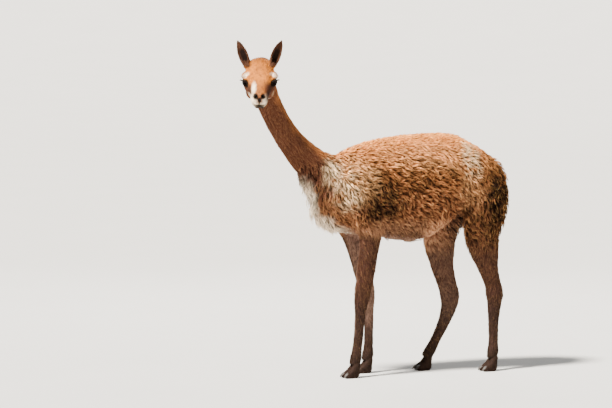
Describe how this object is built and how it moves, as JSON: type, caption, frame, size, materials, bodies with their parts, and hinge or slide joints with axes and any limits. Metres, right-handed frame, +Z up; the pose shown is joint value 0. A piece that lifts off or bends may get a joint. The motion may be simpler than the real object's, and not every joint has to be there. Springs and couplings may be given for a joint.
{
  "type": "vicuna",
  "caption": "Life-size standing vicuna as a still museum model: woolly trunk, long bare neck, head turned aside, four slim two-toed legs, short hanging tail",
  "frame": {"origin": "centre of the bounding box in plan, at the floor under the soles", "axes": "X runs from head to rump, with the chest and neck towards -X; Y runs across, with the animal's left side towards -Y and its head turned that way; Z is up"},
  "size_m": [1.2158, 0.366, 1.3281],
  "materials": {
    "fleece": "woolly cinnamon fleece",
    "leg_coat": "short matt hair",
    "nail": "dull dark horn",
    "eye": "wet dark eye"
  },
  "bodies": {
    "root": {"ear_left": "fleece", "ear_right": "fleece", "eye_left": "eye", "eye_right": "eye", "foot_fore_left": "leg_coat", "foot_fore_right": "leg_coat", "foot_hind_left": "leg_coat", "foot_hind_right": "leg_coat", "fore_left_lower": "leg_coat", "fore_left_upper": "leg_coat", "fore_right_lower": "leg_coat", "fore_right_upper": "leg_coat", "head": "fleece", "hind_left_lower": "leg_coat", "hind_left_upper": "leg_coat", "hind_right_lower": "leg_coat", "hind_right_upper": "leg_coat", "nail_fore_left_inner": "nail", "nail_fore_left_outer": "nail", "nail_fore_right_inner": "nail", "nail_fore_right_outer": "nail", "nail_hind_left_inner": "nail", "nail_hind_left_outer": "nail", "nail_hind_right_inner": "nail", "nail_hind_right_outer": "nail", "neck": "fleece", "tail": "fleece", "torso": "fleece"}
  },
  "joints": []
}
